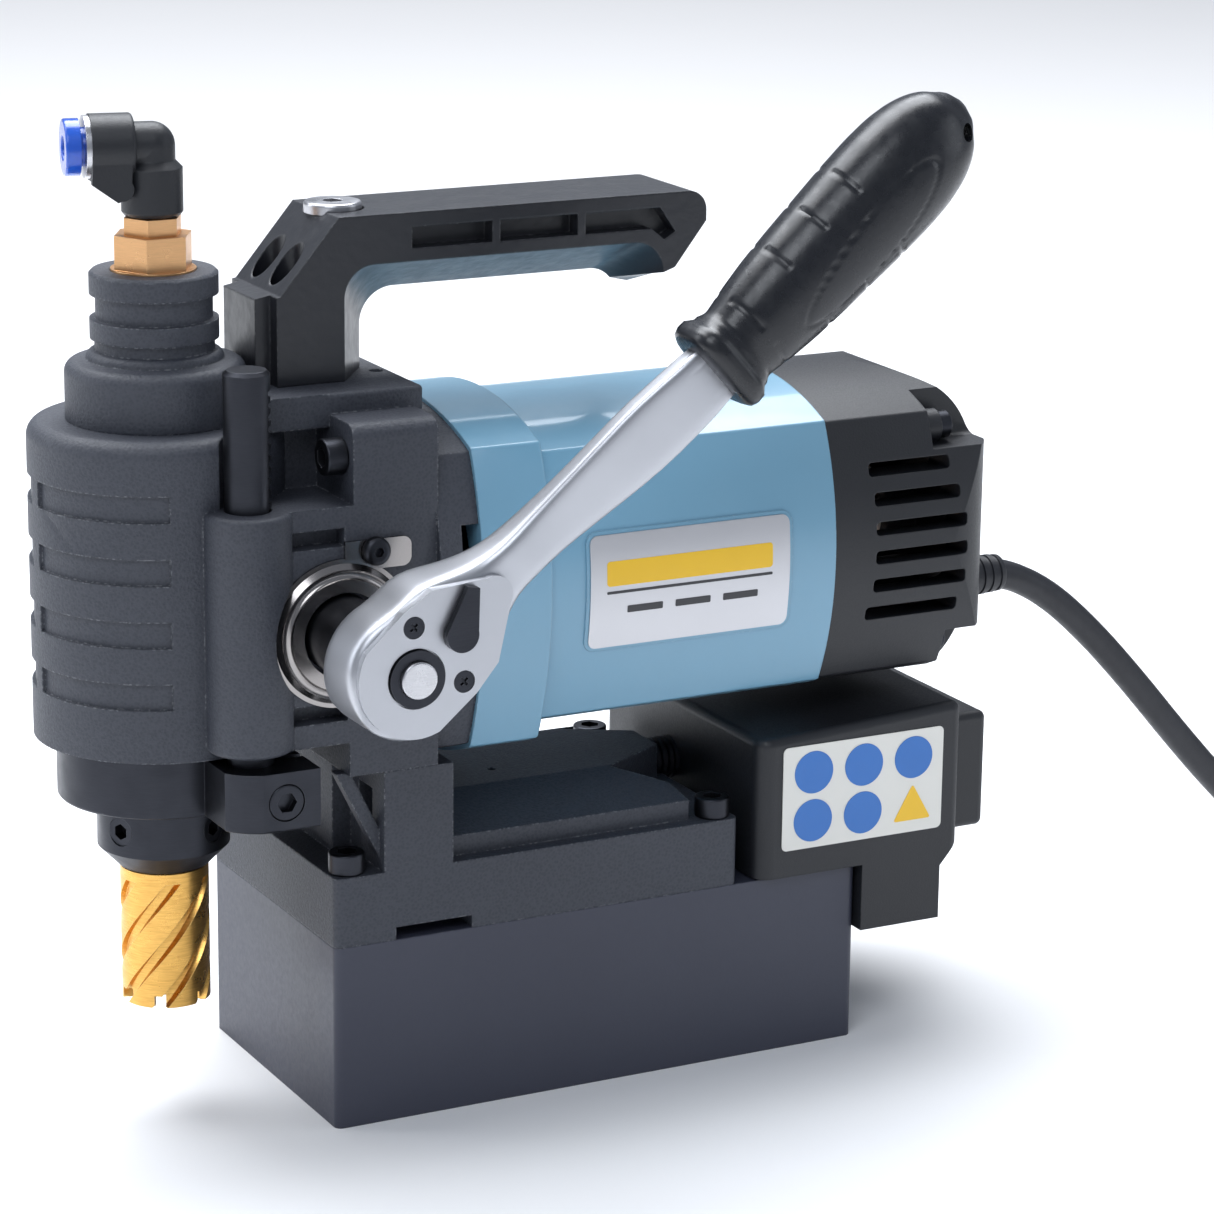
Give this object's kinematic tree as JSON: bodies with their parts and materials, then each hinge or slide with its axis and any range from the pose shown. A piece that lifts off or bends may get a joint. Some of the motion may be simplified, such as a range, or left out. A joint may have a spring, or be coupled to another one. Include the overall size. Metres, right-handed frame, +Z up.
{
  "type": "magnetic drill press",
  "caption": "Magnetic drill press: a switched base magnet, a gear case with a rack-fed spindle and annular cutter, a horizontal motor, carrying handle and ratchet feed wrench.",
  "frame": {"origin": "centre of the magnet's bottom face", "axes": "+Z up, +X towards the motor's cord end, -Y towards the side with the feed wrench"},
  "size_m": [0.5746, 0.2157, 0.2854],
  "materials": {
    "magnet_paint": "smooth blue-black semi-gloss paint",
    "casting_paint": "dark graphite wrinkle paint",
    "motor_paint": "glossy light steel blue paint",
    "dark_plastic": "fine textured black moulding",
    "handle_black": "glossy black with orange peel",
    "copper_wire": "enamelled copper winding",
    "resin": "cast black resin",
    "black_oxide": "black oxide steel",
    "bright_steel": "machined bright steel",
    "satin_chrome": "satin chrome plate",
    "laminated_steel": "stacked electrical steel",
    "gold_coating": "gold titanium nitride coating",
    "brass": "machined brass",
    "collet_blue": "translucent blue plastic",
    "board_green": "printed circuit board",
    "switch_red": "glossy red rocker",
    "switch_green": "glossy green rocker",
    "cord_rubber": "black rubber sheath",
    "cast_aluminium": "cast aluminium"
  },
  "bodies": {
    "machine": {"magnet_block": "magnet_paint", "magnet_coil": "copper_wire", "magnet_resin": "resin", "base_casting": "casting_paint", "base_screws": "black_oxide", "main_casting": "casting_paint", "top_cover": "casting_paint", "side_screws": "black_oxide", "dust_cover": "satin_chrome", "dust_cover_screw": "bright_steel", "gearbox_bearings": "bright_steel", "carrying_handle": "handle_black", "handle_bolt": "bright_steel", "motor_housing": "motor_paint", "end_cap": "dark_plastic", "end_cap_screws": "black_oxide", "stator": "laminated_steel", "brush_gear": "brass", "motor_bearings": "bright_steel", "brass_reducer": "brass", "fitting_stem": "brass", "control_box": "dark_plastic", "switch_cover": "dark_plastic", "circuit_board": "board_green", "lead_boot": "cord_rubber", "cord_boot": "cord_rubber", "mains_cord": "cord_rubber", "cord_coil": "cord_rubber", "cord_tie": "dark_plastic", "mains_plug": "dark_plastic"},
    "armature": {"armature_shaft": "bright_steel", "armature_core": "laminated_steel", "commutator": "copper_wire", "cooling_fan": "cast_aluminium"},
    "layshaft": {"layshaft": "bright_steel", "bevel_gear": "bright_steel"},
    "drive_sleeve": {"drive_sleeve": "bright_steel", "spindle_gear": "bright_steel"},
    "quill": {"quill_tube": "bright_steel", "quill_clamp": "black_oxide", "clamp_screw": "black_oxide", "rack_rod": "black_oxide", "quill_bearings": "bright_steel"},
    "spindle": {"spindle_shaft": "black_oxide", "arbor_screws": "black_oxide", "annular_cutter": "gold_coating"},
    "pilot_pin": {"pilot_pin": "bright_steel"},
    "feed": {"feed_pinion": "black_oxide", "ratchet_drive": "black_oxide"},
    "wrench": {"wrench_body": "satin_chrome", "wrench_plate": "satin_chrome", "plate_screws": "black_oxide", "wrench_grip": "handle_black"},
    "lever": {"reversing_lever": "black_oxide"},
    "button": {"release_button": "bright_steel"},
    "elbow": {"elbow_fitting": "dark_plastic", "collet_ring": "bright_steel"},
    "collet": {"release_collet": "collet_blue"},
    "magnet_rocker": {"magnet_switch": "switch_green"},
    "motor_rocker": {"motor_switch": "switch_red"}
  },
  "joints": [
    {"name": "armature_spin", "type": "hinge", "parent": "machine", "child": "armature", "pos_m": [0, 0, 0.146], "axis": [1, 0, 0], "continuous": true},
    {"name": "layshaft_spin", "type": "hinge", "parent": "machine", "child": "layshaft", "pos_m": [-0.07305, 0, 0.17], "axis": [0, 0, 1], "continuous": true},
    {"name": "sleeve_spin", "type": "hinge", "parent": "machine", "child": "drive_sleeve", "pos_m": [-0.1143, 0, 0.19], "axis": [0, 0, 1], "continuous": true},
    {"name": "feed_turn", "type": "hinge", "parent": "machine", "child": "feed", "pos_m": [-0.08, -0.05, 0.1416], "axis": [0, -1, 0], "range_deg": [0, 178.25]},
    {"name": "quill_slide", "type": "slide", "parent": "machine", "child": "quill", "axis": [0, 0, -1], "range_m": [0, 0.056]},
    {"name": "spindle_spin", "type": "hinge", "parent": "quill", "child": "spindle", "pos_m": [-0.1143, 0, 0.1], "axis": [0, 0, 1], "continuous": true},
    {"name": "pilot_slide", "type": "slide", "parent": "spindle", "child": "pilot_pin", "axis": [0, 0, 1], "range_m": [0, 0.004], "stiffness_N_per_m": 400, "springref_m": -0.002},
    {"name": "wrench_turn", "type": "hinge", "parent": "machine", "child": "wrench", "pos_m": [-0.08, -0.08, 0.1416], "axis": [0, -1, 0], "range_deg": [-70, 98]},
    {"name": "lever_turn", "type": "hinge", "parent": "wrench", "child": "lever", "pos_m": [-0.06803, -0.0917, 0.15222], "axis": [0, 1, 0], "range_deg": [0, 74]},
    {"name": "button_press", "type": "slide", "parent": "feed", "child": "button", "axis": [0, 1, 0], "range_m": [0, 0.0015], "stiffness_N_per_m": 600, "springref_m": -0.0005},
    {"name": "elbow_swivel", "type": "hinge", "parent": "machine", "child": "elbow", "pos_m": [-0.1143, 0, 0.255], "axis": [0, 0, 1], "range_deg": [-180, 180]},
    {"name": "collet_push", "type": "slide", "parent": "elbow", "child": "collet", "axis": [0.9763, -0.2164, 0], "range_m": [0, 0.001], "stiffness_N_per_m": 500, "springref_m": -0.0005},
    {"name": "magnet_rocker_turn", "type": "hinge", "parent": "machine", "child": "magnet_rocker", "pos_m": [0.131, -0.0115, 0.071], "axis": [0, -1, 0], "range_deg": [0, 10]},
    {"name": "motor_rocker_turn", "type": "hinge", "parent": "machine", "child": "motor_rocker", "pos_m": [0.131, 0.0155, 0.071], "axis": [0, -1, 0], "range_deg": [0, 10]}
  ],
  "couplings": [
    {"joint": "layshaft_spin", "follows": "armature_spin", "ratio": 0.5},
    {"joint": "sleeve_spin", "follows": "armature_spin", "ratio": -0.26389},
    {"joint": "spindle_spin", "follows": "armature_spin", "ratio": -0.26389},
    {"joint": "feed_turn", "follows": "quill_slide", "rad_per_m": 55.556}
  ]
}
